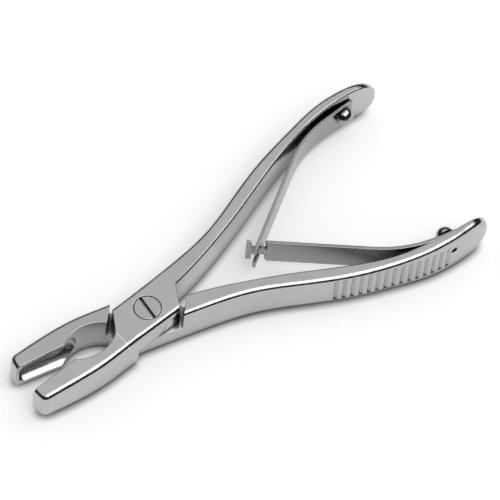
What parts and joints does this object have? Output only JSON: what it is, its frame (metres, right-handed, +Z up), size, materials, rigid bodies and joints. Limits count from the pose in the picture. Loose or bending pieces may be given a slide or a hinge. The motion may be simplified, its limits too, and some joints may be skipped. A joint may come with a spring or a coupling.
{
  "type": "bone rongeur",
  "caption": "Hand-held bone rongeur: lapped halves on a slotted pivot screw, cupped jaws, ribbed handles and interlocking leaf springs held by domed screws",
  "frame": {"origin": "on the pivot screw's axis, at the flat underside that the tool lies on", "axes": "+X along the tool from the pivot to the handle ends, jaws along -X; +Y towards the upper half's handle; +Z up the pivot axis"},
  "size_m": [0.1472, 0.063, 0.0157],
  "materials": {
    "satin_steel": "satin brushed stainless, polished rounded edges",
    "screw_steel": "fine turned stainless",
    "spring_steel": "brushed spring steel",
    "ball_steel": "mirror polished stainless"
  },
  "bodies": {
    "lower": {"lower_half": "satin_steel", "pivot_screw": "screw_steel", "lower_ball_screw": "ball_steel"},
    "upper": {"upper_half": "satin_steel", "upper_ball_screw": "ball_steel"},
    "upper_leaf": {"upper_leaf_spring": "spring_steel"},
    "lower_leaf": {"lower_leaf_spring": "spring_steel"}
  },
  "joints": [
    {"name": "handles_close", "type": "hinge", "parent": "lower", "child": "upper", "pos_m": [0, 0, 0.0067], "axis": [0, 0, -1], "range_deg": [0, 11.6], "stiffness_Nm_per_rad": 3, "springref_deg": -2.86},
    {"name": "upper_leaf_flex", "type": "hinge", "parent": "upper", "child": "upper_leaf", "pos_m": [0.0865, 0.02663, 0.0079], "axis": [0, 0, -1], "range_deg": [0, 5]},
    {"name": "lower_leaf_flex", "type": "hinge", "parent": "lower", "child": "lower_leaf", "pos_m": [0.0865, -0.02663, 0.0079], "axis": [0, 0, 1], "range_deg": [0, 4.5]}
  ],
  "couplings": [
    {"joint": "upper_leaf_flex", "follows": "handles_close", "ratio": 0.422},
    {"joint": "lower_leaf_flex", "follows": "handles_close", "ratio": 0.379}
  ]
}
